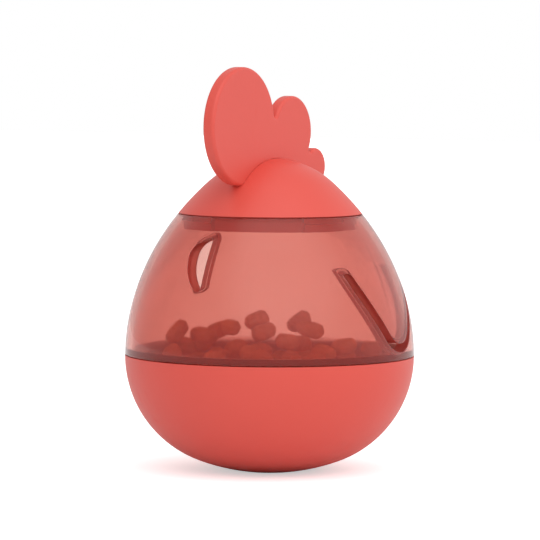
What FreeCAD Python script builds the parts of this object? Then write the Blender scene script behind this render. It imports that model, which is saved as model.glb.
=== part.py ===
"""Roly-poly treat dispenser for cats, shaped like a hen: weighted bowl, clear middle, and a cap with a comb.

Lengths are in millimetres.  Z points up from the centre of the foot, the hen looks along -Y, and the comb
stands in the plane X = 0.
"""
import FreeCAD, Part
import math
import os
import random

import Sketcher

Vector = FreeCAD.Vector
LEVEL = 1e-6
GOLDEN = (math.sqrt(5) - 1) / 2
# Share of a treat's width that its flat ends have
TREAT_END = 0.7
# The pile is drawn at random from this seed: each treat is the lowest of some trials, tilted by some degrees
TREAT_SEED = 9
TREAT_TRIALS = 7
TREAT_TILT = 16
# Planes tried between two treats to find how far one can sink
PLANE_TRIALS = 40
# Treats laid on top last: place in shares of the tray floor's radius, then turn and tilt in degrees
TOP_TREATS = (
    (-0.62, -0.30, 20, 10),
    (-0.58, -0.04, 40, -20),
    (0.22, -0.02, 60, 10),
    (-0.24, -0.24, 115, 38),
    (0.06, -0.22, 31, -22),
    (-0.10, -0.10, 31, -21),
    (0.18, 0.33, 80, 0),
    (0.17, 0.31, 31, -36),
    (0.42, 0.12, 25, 14),
    (0.72, 0.30, 50, -12),
    (-0.80, -0.52, 31, -50),
    (-0.25, -0.36, 100, 10),
)

# Driving sizes, in millimetres, degrees and counts
SIZES = {
    # Outer form of the egg, from the foot up
    "foot_radius": 9,
    "bottom_arc_radius": 64,
    "widest_radius": 45,
    "seam_height": 36,
    "window_arc_radius": 62,
    "bend_rise": 14,
    "neck_rise": 43.8,
    "neck_radius": 28.8,
    "flank_run": 9.4,
    "flank_rise": 10,
    "crown_rise": 7.5,
    # Walls and seams
    "bowl_wall": 2.6,
    "window_wall": 2,
    "cap_wall": 2.2,
    "seam_gap": 0.35,
    "rim_step": 1.3,
    "fit_gap": 0.2,
    "seat_gap": 0.05,
    # Plug joint between bowl and window
    "socket_rim": 2.7,
    "socket_depth": 6,
    "spigot_wall": 1.6,
    "spigot_lift": 0.3,
    "spigot_shoulder_rise": 2.2,
    "key_count": 4,
    "key_width": 4,
    "key_reach": 0.8,
    # Neck joint between window and cap
    "mouth_lip": 2,
    "skirt_wall": 1.8,
    "skirt_depth": 4.7,
    "tab_count": 4,
    "tab_width": 14,
    "tab_reach": 1.3,
    "tab_turn": -23,
    # Counterweight and its seat
    "weight_thickness": 7,
    "weight_chamfer": 3,
    "weight_seat_height": 6.5,
    "seat_ring_radius": 10,
    "seat_ring_wall": 2,
    # Tray that closes the bowl and carries the treats
    "tray_wall": 1.8,
    "tray_drop": 6.2,
    "tray_ledge": 5.3,
    "tray_slope_run": 7,
    "hold_down_radius": 23,
    "hold_down_wall": 1.6,
    # Fastening of the tray
    "boss_count": 3,
    "boss_circle_radius": 17,
    "boss_radius": 3.2,
    "boss_hole_depth": 11,
    "tray_screw_radius": 1.45,
    "tray_screw_length": 9.5,
    "tray_screw_head_radius": 2.8,
    "tray_screw_head_height": 1,
    "tray_screw_recess": 1,
    # Comb: three round lobes in one plate
    "comb_thickness": 4,
    "comb_edge_radius": 1,
    "comb_notch_radius": 0.8,
    "front_lobe_radius": 18.2,
    "front_lobe_forward": 18.8,
    "front_lobe_rise": 10.1,
    "middle_lobe_radius": 11.3,
    "middle_lobe_drop_angle": 4.5,
    "rear_lobe_radius": 5.9,
    "rear_lobe_gap": 1,
    "rear_lobe_drop_angle": 38,
    "rear_root_angle": 35,
    "comb_root_depth": 14,
    # Tenons and the plate that holds them from inside
    "tenon_length": 6,
    "tenon_spacing": 11,
    "tenon_count": 2,
    "retainer_drop": 11.3,
    "retainer_radius": 13.5,
    "retainer_thickness": 2,
    "retainer_ring_wall": 1.6,
    "comb_screw_radius": 1.1,
    "comb_screw_length": 9,
    "comb_screw_head_radius": 2.4,
    "comb_screw_head_height": 1.5,
    "screw_gap": 0.05,
    # Front opening, a half teardrop with its straight side on the hen's midline
    "opening_top_height": 73.8,
    "opening_drop": 16.4,
    "opening_width": 8,
    "opening_shoulder_drop": 5.8,
    "opening_brow": 4.8,
    "opening_brow_drop": 1.3,
    "opening_corner": 1.4,
    # V slot, measured on a plane at the stated distance from the axis
    "slot_plane_distance": 40,
    "slot_turn": 95,
    "slot_top_height": 62.9,
    "slot_top_spread": 20.7,
    "slot_bend_height": 43.4,
    "slot_bend_spread": 6.6,
    "slot_bottom_height": 40,
    "slot_width": 2.7,
    "slot_top_width": 3.4,
    # Inward rims round the openings
    "opening_rim_wall": 1,
    "opening_rim_depth": 3.8,
    # Treats
    "treat_length": 11.5,
    "treat_width": 8,
    "treat_height": 5,
    "treat_gap": 0.1,
    "treat_level": 42.5,
}

doc = FreeCAD.newDocument("treat_dispenser")
sheet = doc.addObject("Spreadsheet::Sheet", "Sizes")
for row, (alias, amount) in enumerate(SIZES.items(), start=1):
    sheet.set(f"A{row}", alias.replace("_", " "))
    sheet.set(f"B{row}", str(amount))
    sheet.setAlias(f"B{row}", alias)
doc.recompute()


class Size:
    """A length worked out from the sheet: its value now, and the expression that keeps it up to date."""

    def __init__(self, value, text):
        self.value = value
        self.text = text

    def _joined(self, other, sign, value):
        return Size(value, f"({self.text} {sign} {as_size(other).text})")

    def __add__(self, other):
        return self._joined(other, "+", self.value + as_size(other).value)

    def __sub__(self, other):
        return self._joined(other, "-", self.value - as_size(other).value)

    def __mul__(self, other):
        return self._joined(other, "*", self.value * as_size(other).value)

    def __truediv__(self, other):
        return self._joined(other, "/", self.value / as_size(other).value)

    def __neg__(self):
        return Size(-self.value, f"(0 - {self.text})")


def as_size(amount):
    """A plain number as a Size, or the Size itself."""
    return amount if isinstance(amount, Size) else Size(float(amount), repr(float(amount)))


def size(alias):
    """The size that the sheet holds under this alias."""
    return Size(float(sheet.get(alias)), f"Sizes.{alias}")


def root(amount):
    """Square root of a Size."""
    return Size(math.sqrt(amount.value), f"sqrt({amount.text})")


def larger(first, second):
    """The larger of two Sizes."""
    return Size(max(first.value, second.value), f"max({first.text}; {second.text})")


def whichever(height, limit, below, above):
    """One Size for heights below a limit, and another above it."""
    value = below.value if height.value < limit.value else above.value
    return Size(value, f"({height.text} < {limit.text} ? {below.text} : {above.text})")


def cosine(angle):
    """Cosine of an angle that is held in degrees."""
    return Size(math.cos(math.radians(angle.value)), f"cos({angle.text} * 1 deg)")


def sine(angle):
    """Sine of an angle that is held in degrees."""
    return Size(math.sin(math.radians(angle.value)), f"sin({angle.text} * 1 deg)")


def bind(thing, **sizes):
    """Bind properties of an object to sizes."""
    for name, amount in sizes.items():
        thing.setExpression(name, as_size(amount).text)


# Sizes that several pieces share
seam_height = size("seam_height")
widest_radius = size("widest_radius")
neck_height = seam_height + size("neck_rise")
neck_radius = size("neck_radius")
crown_edge_radius = neck_radius - size("flank_run")
crown_edge_height = neck_height + size("flank_rise")
dome_height = crown_edge_height + size("crown_rise")
bottom_centre_height = root(size("bottom_arc_radius") * size("bottom_arc_radius")
                            - size("foot_radius") * size("foot_radius"))
bowl_inside_radius = size("bottom_arc_radius") - size("bowl_wall")
side_drop = bottom_centre_height - seam_height
side_arc_radius = ((size("bottom_arc_radius") * size("bottom_arc_radius") - widest_radius * widest_radius
                    - side_drop * side_drop) / (size("bottom_arc_radius") - widest_radius) / 2)
haunch_inside_height = (bottom_centre_height - bowl_inside_radius * side_drop
                        / (size("bottom_arc_radius") - side_arc_radius))


def leg(long_side, other_leg):
    """Second leg of a right-angled triangle, or nothing where the first is too long."""
    return root(larger(long_side * long_side - other_leg * other_leg, as_size(0)))


def bowl_inside_at(height):
    """Radius of the bowl's inside at a height below its seam."""
    on_bottom = leg(bowl_inside_radius, bottom_centre_height - height)
    side_run = leg(side_arc_radius - size("bowl_wall"), seam_height - height)
    on_side = widest_radius - side_arc_radius + side_run
    return whichever(height, haunch_inside_height, on_bottom, on_side)


socket_radius = widest_radius - size("socket_rim")
socket_floor_height = seam_height - size("socket_depth")
tray_rim_height = socket_floor_height + size("tray_wall")
tray_floor_height = tray_rim_height - size("tray_drop")
tray_under_height = tray_floor_height - size("tray_wall")
tray_floor_radius = socket_radius - size("tray_ledge") - size("tray_slope_run")
weight_top_height = size("weight_seat_height") + size("weight_thickness")
spigot_radius = socket_radius - size("fit_gap")
spigot_bottom_height = tray_rim_height + size("spigot_lift")
mouth_radius = neck_radius - size("mouth_lip")
skirt_radius = mouth_radius - size("fit_gap") - size("seat_gap") * 2
skirt_bottom_height = neck_height - size("skirt_depth")
retainer_top_height = dome_height - size("retainer_drop")
tenon_bottom_height = retainer_top_height + size("fit_gap")


# Radii of the arcs that follow from the points they join
window_arc_radius = size("window_arc_radius")
bend_run = root(window_arc_radius * window_arc_radius - size("bend_rise") * size("bend_rise"))
bend_radius = widest_radius - window_arc_radius + bend_run
shoulder_run = bend_radius - neck_radius
shoulder_rise = size("neck_rise") - size("bend_rise")
shoulder_arc_radius = (window_arc_radius * (shoulder_run * shoulder_run + shoulder_rise * shoulder_rise)
                       / (shoulder_run * bend_run - shoulder_rise * size("bend_rise")) / 2)
crown_arc_radius = (crown_edge_radius * crown_edge_radius / size("crown_rise") + size("crown_rise")) / 2
flank_arc_radius = (crown_arc_radius
                    * (size("flank_run") * size("flank_run") + size("flank_rise") * size("flank_rise"))
                    / (size("flank_rise") * (crown_arc_radius - size("crown_rise"))
                       - size("flank_run") * crown_edge_radius) / 2)


class Egg:
    """Centres and joints of the arcs that make the outer form, as points (radius, height)."""

    bottom = Vector(0, bottom_centre_height.value)
    side = Vector(widest_radius.value - side_arc_radius.value, seam_height.value)
    foot_edge = Vector(size("foot_radius").value, 0)
    haunch_normal = (side - bottom).normalize()
    haunch = bottom + haunch_normal * size("bottom_arc_radius").value
    belt = Vector(widest_radius.value, seam_height.value)

    window = Vector(widest_radius.value - window_arc_radius.value, seam_height.value)
    bend = window + Vector(bend_run.value, size("bend_rise").value)
    bend_normal = (bend - window).normalize()
    neck_edge = Vector(neck_radius.value, neck_height.value)
    shoulder = bend - bend_normal * shoulder_arc_radius.value

    apex = Vector(0, dome_height.value)
    crown_edge = Vector(crown_edge_radius.value, crown_edge_height.value)
    crown = apex - Vector(0, crown_arc_radius.value)
    crown_normal = (crown_edge - crown).normalize()
    flank = crown_edge - crown_normal * flank_arc_radius.value


def on_arc(centre, through, height=None, radius=None, inset=0.0):
    """Point of an arc, moved in by inset, that lies at this height or at this radius."""
    reach = (through - centre).Length
    outward = 1 if through.x > centre.x else -1
    reach -= outward * inset
    if height is not None:
        return Vector(centre.x + outward * math.sqrt(reach ** 2 - (height - centre.y) ** 2), height)
    return Vector(radius, centre.y + outward * math.sqrt(reach ** 2 - (radius - centre.x) ** 2))


class Edge:
    """One line or arc of an outline, with the ends that it is walked from and to."""

    def __init__(self, index, first, last):
        self.index = index
        self.first = first
        self.last = last


class Outline:
    """A closed chain of lines and arcs in one sketch, drawn in order and bound to the sheet."""

    def __init__(self, sketch, start):
        self.sketch = sketch
        self.here = start
        self.edges = []

    def _tie(self, kind, *arguments):
        return self.sketch.addConstraint(Sketcher.Constraint(kind, *arguments))

    def _joined(self, edge, smooth):
        if self.edges:
            before = self.edges[-1]
            kind = "Tangent" if smooth else "Coincident"
            self._tie(kind, before.index, before.last, edge.index, edge.first)
        self.edges.append(edge)
        return edge

    def line(self, end, smooth=False, free=False):
        """Straight edge to a point, kept upright or level where it is so now, unless it is free."""
        index = self.sketch.addGeometry(Part.LineSegment(self.here, end))
        edge = self._joined(Edge(index, 1, 2), smooth)
        if smooth or free:
            pass
        elif abs(end.x - self.here.x) < LEVEL:
            self._tie("Vertical", index)
        elif abs(end.y - self.here.y) < LEVEL:
            self._tie("Horizontal", index)
        self.here = end
        return edge

    def arc(self, centre, end, smooth=False, turn=0):
        """Arc about a centre to a point: the short way round, or the way of turn, 1 for left."""
        from_centre = self.here - centre
        to_end = end - centre
        turn = turn or (1 if from_centre.cross(to_end).z > 0 else -1)
        start_angle = math.atan2(from_centre.y, from_centre.x)
        end_angle = math.atan2(to_end.y, to_end.x)
        circle = Part.Circle(centre, Vector(0, 0, 1), from_centre.Length)
        angles = (start_angle, end_angle) if turn > 0 else (end_angle, start_angle)
        index = self.sketch.addGeometry(Part.ArcOfCircle(circle, *angles))
        edge = self._joined(Edge(index, 1, 2) if turn > 0 else Edge(index, 2, 1), smooth)
        self.here = end
        return edge

    def bow(self, start, end, rise):
        """Arc between two points, as pairs of sizes, that stands out by rise to the right of the way."""
        here = Vector(start[0].value, start[1].value)
        there = Vector(end[0].value, end[1].value)
        span = there - here
        aside = Vector(span.y, -span.x).normalize()
        centre = Part.Circle(here, (here + there) * 0.5 + aside * rise.value, there).Center
        edge = self.arc(centre, there, turn=1 if rise.value > 0 else -1)
        run = end[0] - start[0]
        climb = end[1] - start[1]
        outward = rise if rise.value > 0 else -rise
        self.radius(edge, (run * run + climb * climb) / outward / 8 + outward / 2)
        return edge

    def close(self, smooth=False):
        """Join the last edge to the first."""
        last = self.edges[-1]
        first = self.edges[0]
        self._tie("Tangent" if smooth else "Coincident", last.index, last.last, first.index, first.first)

    def _place(self, index, position, name, amount):
        amount = as_size(amount)
        axis = -2 if name == "DistanceX" else -1
        if amount.value == 0:
            self._tie("PointOnObject", index, position, axis)
            return
        if amount.value > 0:
            number = self._tie(name, -1, 1, index, position, amount.value)
        else:
            amount = -amount
            number = self._tie(name, index, position, -1, 1, amount.value)
        self.sketch.setExpression(f"Constraints[{number}]", amount.text)

    def end_at(self, edge, x=None, y=None):
        """Bind where an edge ends."""
        if x is not None:
            self._place(edge.index, edge.last, "DistanceX", x)
        if y is not None:
            self._place(edge.index, edge.last, "DistanceY", y)

    def start_at(self, edge, x=None, y=None):
        """Bind where an edge starts."""
        if x is not None:
            self._place(edge.index, edge.first, "DistanceX", x)
        if y is not None:
            self._place(edge.index, edge.first, "DistanceY", y)

    def centre_at(self, edge, x=None, y=None):
        """Bind the centre of an arc."""
        if x is not None:
            self._place(edge.index, 3, "DistanceX", x)
        if y is not None:
            self._place(edge.index, 3, "DistanceY", y)

    def same_centre(self, edge, other):
        """Make two arcs concentric."""
        self._tie("Coincident", edge.index, 3, other.index, 3)

    def radius(self, edge, amount):
        """Bind the radius of an arc."""
        number = self._tie("Radius", edge.index, amount.value)
        self.sketch.setExpression(f"Constraints[{number}]", amount.text)

    def marker(self, point, edge, x, y):
        """Construction point at bound coordinates that an edge has to pass through."""
        index = self.sketch.addGeometry(Part.Point(point), True)
        self._place(index, 1, "DistanceX", x)
        self._place(index, 1, "DistanceY", y)
        self._tie("PointOnObject", index, 1, edge.index)

    def rectangle(self, left, low, right, high):
        """Rectangle from sizes, starting at its lower left corner."""
        self.here = Vector(left.value, low.value)
        corners = [(right, None), (None, high), (left, None), (None, low)]
        point = self.here
        for x, y in corners:
            point = Vector(x.value if x else point.x, y.value if y else point.y)
            edge = self.line(point)
            self.end_at(edge, x, y)
        self.close()


def new_body(label):
    """Empty body whose name is the piece's name."""
    body = doc.addObject("PartDesign::Body", label)
    body.Label = label
    body.AllowCompound = True
    return body


def origin_feature(body, role):
    """One of the planes or axes of a body's origin."""
    return next(part for part in body.Origin.OriginFeatures if part.Role == role)


def new_sketch(body, name, role="XZ_Plane", lift=None, turn=None):
    """Sketch on one of a body's origin planes, lifted off it and turned in it by sizes."""
    sketch = body.newObject("Sketcher::SketchObject", name)
    sketch.AttachmentSupport = [(origin_feature(body, role), "")]
    sketch.MapMode = "FlatFace"
    if lift is not None:
        sketch.setExpression("AttachmentOffset.Base.z", lift.text)
    if turn is not None:
        sketch.AttachmentOffset = FreeCAD.Placement(Vector(), FreeCAD.Rotation(Vector(0, 0, 1), turn.value))
        sketch.setExpression("AttachmentOffset.Rotation.Angle", turn.text)
    return sketch


def revolved(body, sketch, name, kind="PartDesign::Revolution"):
    """Full turn of a sketch about its upright axis, added or, for a groove, taken away."""
    feature = body.newObject(kind, name)
    feature.Profile = sketch
    feature.ReferenceAxis = (sketch, ["V_Axis"])
    feature.Angle = 360
    return feature


def padded(body, sketch, name, length, both_ways=False):
    """Sketch extruded along its normal, or half to each side."""
    feature = body.newObject("PartDesign::Pad", name)
    feature.Profile = sketch
    feature.SideType = "Symmetric" if both_ways else "One side"
    bind(feature, Length=length)
    return feature


def pocketed(body, sketch, name, depth):
    """Sketch cut into the body against its normal."""
    feature = body.newObject("PartDesign::Pocket", name)
    feature.Profile = sketch
    bind(feature, Length=depth)
    return feature


def repeated(body, feature, name, alias):
    """Copies of one feature evenly round the upright axis."""
    pattern = body.newObject("PartDesign::PolarPattern", name)
    pattern.Originals = [feature]
    pattern.Axis = (origin_feature(body, "Z_Axis"), [""])
    pattern.Angle = 360
    bind(pattern, Occurrences=size(alias))
    body.Tip = pattern
    return pattern


def circle_in(sketch, x, y, radius):
    """Circle bound to the sheet."""
    centre = Vector(x.value, y.value if y is not None else 0)
    index = sketch.addGeometry(Part.Circle(centre, Vector(0, 0, 1), radius.value))
    number = sketch.addConstraint(Sketcher.Constraint("Radius", index, radius.value))
    sketch.setExpression(f"Constraints[{number}]", radius.text)
    place = Outline(sketch, centre)
    edge = Edge(index, 3, 3)
    place.end_at(edge, x, y if y is not None else as_size(0))


def make_lower_bowl():
    """Opaque bowl: an egg's blunt end with a flat foot, a socket at the rim, bosses and a weight seat."""
    body = new_body("lower_bowl")
    wall = size("bowl_wall")
    sketch = new_sketch(body, "bowl_section")
    outline = Outline(sketch, Vector(0, 0))
    foot = outline.line(Egg.foot_edge)
    bottom = outline.arc(Egg.bottom, Egg.haunch)
    side = outline.arc(Egg.side, Egg.belt, smooth=True)
    rim = outline.line(Vector(socket_radius.value, seam_height.value))
    socket = outline.line(Vector(socket_radius.value, socket_floor_height.value))
    inside_top = on_arc(Egg.side, Egg.belt, height=socket_floor_height.value, inset=wall.value)
    ledge = outline.line(inside_top)
    inner_side = outline.arc(Egg.side, Egg.haunch - Egg.haunch_normal * wall.value)
    inner_bottom = outline.arc(Egg.bottom, Vector(0, Egg.bottom.y - bowl_inside_radius.value), smooth=True)
    outline.line(Vector(0, 0))
    outline.close()
    outline.start_at(foot, 0, 0)
    outline.end_at(foot, size("foot_radius"))
    outline.centre_at(bottom, 0)
    outline.radius(bottom, size("bottom_arc_radius"))
    outline.end_at(side, widest_radius, seam_height)
    outline.centre_at(side, None, seam_height)
    outline.end_at(rim, socket_radius)
    outline.end_at(socket, None, socket_floor_height)
    outline.same_centre(inner_side, side)
    outline.same_centre(inner_bottom, bottom)
    outline.radius(inner_bottom, bowl_inside_radius)
    revolved(body, sketch, "bowl_shell")

    sketch = new_sketch(body, "seat_ring_section")
    ring_radius = size("seat_ring_radius")
    Outline(sketch, Vector()).rectangle(ring_radius - size("seat_ring_wall"), wall / 2,
                                        ring_radius, size("weight_seat_height"))
    revolved(body, sketch, "seat_ring")

    near = size("boss_circle_radius") - size("boss_radius")
    floor_height = bottom_centre_height - root(bowl_inside_radius * bowl_inside_radius - near * near)
    boss_base = floor_height - wall / 8
    sketch = new_sketch(body, "boss_circle", "XY_Plane", lift=boss_base)
    circle_in(sketch, size("boss_circle_radius"), None, size("boss_radius"))
    boss = padded(body, sketch, "boss", tray_under_height - boss_base)
    repeated(body, boss, "bosses", "boss_count")

    sketch = new_sketch(body, "boss_hole_circle", "XY_Plane", lift=tray_under_height)
    circle_in(sketch, size("boss_circle_radius"), None, size("tray_screw_radius") + size("screw_gap"))
    hole = pocketed(body, sketch, "boss_hole", size("boss_hole_depth"))
    repeated(body, hole, "boss_holes", "boss_count")

    sketch = new_sketch(body, "keyway_outline", "XY_Plane", lift=seam_height)
    half = size("key_width") / 2 + size("fit_gap")
    Outline(sketch, Vector()).rectangle(socket_radius - size("key_reach"), -half,
                                        socket_radius + size("key_reach"), half)
    keyway = pocketed(body, sketch, "keyway", size("socket_depth"))
    repeated(body, keyway, "keyways", "key_count")
    return body


def make_counterweight():
    """Cast iron disc that sits on the bowl's seat ring, with holes for the bosses."""
    body = new_body("counterweight")
    low = size("weight_seat_height")
    chamfer = size("weight_chamfer")
    radius = bowl_inside_at(low) - size("fit_gap") + chamfer
    sketch = new_sketch(body, "weight_section")
    outline = Outline(sketch, Vector(0, low.value))
    under = outline.line(Vector(radius.value - chamfer.value, low.value))
    bevel = outline.line(Vector(radius.value, low.value + chamfer.value))
    wall = outline.line(Vector(radius.value, weight_top_height.value))
    outline.line(Vector(0, weight_top_height.value))
    outline.line(Vector(0, low.value))
    outline.close()
    outline.start_at(under, 0, low)
    outline.end_at(under, radius - chamfer)
    outline.end_at(bevel, radius, low + chamfer)
    outline.end_at(wall, None, weight_top_height)
    revolved(body, sketch, "weight_disc")
    sketch = new_sketch(body, "weight_hole_circle", "XY_Plane", lift=weight_top_height)
    circle_in(sketch, size("boss_circle_radius"), None, size("boss_radius") + size("fit_gap") * 2)
    hole = pocketed(body, sketch, "weight_hole", size("weight_thickness"))
    repeated(body, hole, "weight_holes", "boss_count")
    return body


def make_treat_tray():
    """Dished tray that the treats lie on, with a ring below that holds the counterweight down."""
    body = new_body("treat_tray")
    ring_out = size("hold_down_radius")
    ring_in = ring_out - size("hold_down_wall")
    slope_end = tray_floor_radius + size("tray_slope_run")
    rim_radius = socket_radius - size("fit_gap")
    corners = [
        (as_size(0), tray_under_height),
        (ring_in, tray_under_height),
        (ring_in, weight_top_height),
        (ring_out, weight_top_height),
        (ring_out, tray_under_height),
        (tray_floor_radius, tray_under_height),
        (slope_end, socket_floor_height),
        (rim_radius, socket_floor_height),
        (rim_radius, tray_rim_height),
        (slope_end - size("tray_wall") / 2, tray_rim_height),
        (tray_floor_radius - size("tray_wall") / 2, tray_floor_height),
        (as_size(0), tray_floor_height),
    ]
    sketch = new_sketch(body, "tray_section")
    draw_corners(sketch, corners)
    revolved(body, sketch, "tray_shell")

    sketch = new_sketch(body, "tray_hole_circle", "XY_Plane", lift=tray_floor_height)
    circle_in(sketch, size("boss_circle_radius"), None, size("tray_screw_radius") + size("fit_gap"))
    hole = pocketed(body, sketch, "tray_hole", size("tray_wall"))
    repeated(body, hole, "tray_holes", "boss_count")
    sketch = new_sketch(body, "tray_recess_circle", "XY_Plane", lift=tray_floor_height)
    circle_in(sketch, size("boss_circle_radius"), None, size("tray_screw_head_radius") + size("fit_gap"))
    recess = pocketed(body, sketch, "tray_recess", size("tray_screw_recess"))
    repeated(body, recess, "tray_recesses", "boss_count")
    return body


def draw_corners(sketch, corners):
    """Closed outline with straight edges through corners that are given as pairs of sizes."""
    points = [Vector(x.value, y.value) for x, y in corners]
    outline = Outline(sketch, points[0])
    for point in points[1:] + points[:1]:
        outline.line(point)
    outline.close()
    for number, edge in enumerate(outline.edges):
        x, y = corners[number]
        held_by = [points[number - 1]] if number else []
        if number == len(points) - 1:
            held_by.append(points[0])
        free_x = all(abs(points[number].x - point.x) > LEVEL for point in held_by)
        free_y = all(abs(points[number].y - point.y) > LEVEL for point in held_by)
        outline.start_at(edge, x if free_x else None, y if free_y else None)


def make_screws(label, plane, seat_height, upright, spread, screw, copies):
    """Pan-head screws on a circle about the axis, their heads above (1) or below (-1) the seat."""
    body = new_body(label)
    shank = size(f"{screw}_radius")
    head = size(f"{screw}_head_radius")
    head_end = seat_height + size(f"{screw}_head_height") * upright
    tip = seat_height - size(f"{screw}_length") * upright
    brim = seat_height + size(f"{screw}_head_height") * upright / 2
    corners = [
        (spread, head_end),
        (spread + head * 0.8, head_end),
        (spread + head, brim),
        (spread + head, seat_height),
        (spread + shank, seat_height),
        (spread + shank, tip + shank * upright),
        (spread, tip),
    ]
    sketch = new_sketch(body, f"{label}_section", plane)
    draw_corners(sketch, corners)
    feature = body.newObject("PartDesign::Revolution", f"{label}_turned")
    feature.Profile = sketch
    feature.ReferenceAxis = (sketch, ["Edge7"])
    feature.Angle = 360
    repeated(body, feature, f"{label}_all", copies)
    return body


def make_window_wall():
    """The window's wall of revolution with its spigot, keys and notched mouth."""
    body = new_body("window_wall_form")
    wall = size("window_wall")
    rim_height = seam_height + size("seam_gap")
    step_radius = widest_radius - size("rim_step")
    spigot_inner = spigot_radius - size("spigot_wall")
    shoulder_height = seam_height + size("spigot_shoulder_rise")
    sketch = new_sketch(body, "window_section")
    outline = Outline(sketch, on_arc(Egg.window, Egg.belt, height=rim_height.value))
    lower = outline.arc(Egg.window, Egg.bend)
    upper = outline.arc(Egg.shoulder, Egg.neck_edge, smooth=True)
    lip = outline.line(Vector(mouth_radius.value, neck_height.value))
    mouth_low = on_arc(Egg.shoulder, Egg.bend, radius=mouth_radius.value, inset=wall.value)
    mouth = outline.line(mouth_low)
    inner_upper = outline.arc(Egg.shoulder, Egg.bend - Egg.bend_normal * wall.value)
    inner_low = on_arc(Egg.window, Egg.belt, height=shoulder_height.value, inset=wall.value)
    inner_lower = outline.arc(Egg.window, inner_low, smooth=True)
    slope = outline.line(Vector(spigot_inner.value, seam_height.value))
    inside = outline.line(Vector(spigot_inner.value, spigot_bottom_height.value))
    under = outline.line(Vector(spigot_radius.value, spigot_bottom_height.value))
    outside = outline.line(Vector(spigot_radius.value, seam_height.value))
    ledge = outline.line(Vector(step_radius.value, seam_height.value))
    outline.line(Vector(step_radius.value, rim_height.value))
    outline.line(on_arc(Egg.window, Egg.belt, height=rim_height.value))
    outline.close()
    outline.start_at(lower, None, rim_height)
    outline.centre_at(lower, widest_radius - window_arc_radius, seam_height)
    outline.radius(lower, window_arc_radius)
    outline.end_at(lower, None, seam_height + size("bend_rise"))
    outline.end_at(upper, neck_radius, neck_height)
    outline.end_at(lip, mouth_radius)
    outline.same_centre(inner_upper, upper)
    outline.same_centre(inner_lower, lower)
    outline.radius(inner_lower, window_arc_radius - wall)
    outline.end_at(inner_lower, None, shoulder_height)
    outline.end_at(slope, spigot_inner, seam_height)
    outline.end_at(inside, None, spigot_bottom_height)
    outline.end_at(under, spigot_radius)
    outline.end_at(outside, None, seam_height)
    outline.end_at(ledge, step_radius)
    revolved(body, sketch, "window_revolved")

    half = size("key_width") / 2
    sketch = new_sketch(body, "key_outline", "XY_Plane", lift=spigot_bottom_height)
    Outline(sketch, Vector()).rectangle(spigot_radius - size("spigot_wall") / 2, -half,
                                        spigot_radius + size("key_reach"), half)
    key = padded(body, sketch, "key", seam_height + size("seam_gap") - spigot_bottom_height)
    repeated(body, key, "keys", "key_count")

    sketch = new_sketch(body, "notch_outline", "XY_Plane", lift=neck_height, turn=size("tab_turn"))
    draw_tab(sketch, mouth_radius - size("mouth_lip"), mouth_radius + size("tab_reach"),
             size("tab_width") / 2 + size("fit_gap"))
    notch = pocketed(body, sketch, "notch", size("skirt_depth") + size("fit_gap"))
    repeated(body, notch, "notches", "tab_count")
    return body


def draw_tab(sketch, inner, outer, half_width):
    """Straight-sided piece of a ring about the origin, on the sketch's X axis."""
    def corner(radius, side):
        return Vector(math.sqrt(radius.value ** 2 - half_width.value ** 2), side * half_width.value)

    centre = Vector(0, 0)
    outline = Outline(sketch, corner(inner, -1))
    low = outline.line(corner(outer, -1))
    outside = outline.arc(centre, corner(outer, 1))
    high = outline.line(corner(inner, 1))
    inside = outline.arc(centre, corner(inner, -1))
    outline.close()
    outline.centre_at(outside, 0, 0)
    outline.radius(outside, outer)
    outline.centre_at(inside, 0, 0)
    outline.radius(inside, inner)
    outline.start_at(low, None, -half_width)
    outline.start_at(high, None, half_width)


def make_rim_stock():
    """Skin inside the window's wall, as deep as the openings' rims, that the rims are taken from."""
    body = new_body("rim_stock_form")
    shallow = size("window_wall") / 2
    deep = size("opening_rim_depth")
    low = size("slot_bottom_height") - size("slot_width") - size("opening_rim_wall")
    high = size("opening_top_height") + size("opening_rim_wall") * 2
    sketch = new_sketch(body, "rim_stock_section")

    def wall_point(centre, through, inset, height):
        return on_arc(centre, through, height=height.value, inset=inset.value)

    outline = Outline(sketch, wall_point(Egg.window, Egg.belt, shallow, low))
    lower = outline.arc(Egg.window, Egg.bend - Egg.bend_normal * shallow.value)
    upper = outline.arc(Egg.shoulder, wall_point(Egg.shoulder, Egg.bend, shallow, high), smooth=True)
    outline.line(wall_point(Egg.shoulder, Egg.bend, deep, high))
    inner_upper = outline.arc(Egg.shoulder, Egg.bend - Egg.bend_normal * deep.value)
    inner_lower = outline.arc(Egg.window, wall_point(Egg.window, Egg.belt, deep, low), smooth=True)
    outline.line(wall_point(Egg.window, Egg.belt, shallow, low))
    outline.close()
    inner_radius = window_arc_radius - shallow
    outline.centre_at(lower, widest_radius - window_arc_radius, seam_height)
    outline.radius(lower, inner_radius)
    outline.start_at(lower, None, low)
    outline.end_at(lower, None, seam_height + size("bend_rise") * inner_radius / window_arc_radius)
    outline.radius(upper, shoulder_arc_radius - shallow)
    outline.end_at(upper, None, high)
    outline.same_centre(inner_upper, upper)
    outline.same_centre(inner_lower, lower)
    outline.radius(inner_lower, window_arc_radius - deep)
    revolved(body, sketch, "rim_stock")
    return body


def radial_sketch(name, azimuth, distance):
    """Upright sketch that faces away from the axis, at an azimuth from the hen's front and a distance."""
    sketch = doc.addObject("Sketcher::SketchObject", name)
    turn = FreeCAD.Rotation(Vector(0, 0, 1), azimuth.value) * FreeCAD.Rotation(Vector(1, 0, 0), 90)
    angle = math.radians(azimuth.value)
    base = Vector(math.sin(angle), -math.cos(angle), 0) * distance.value
    sketch.Placement = FreeCAD.Placement(base, turn)
    return sketch


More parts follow.
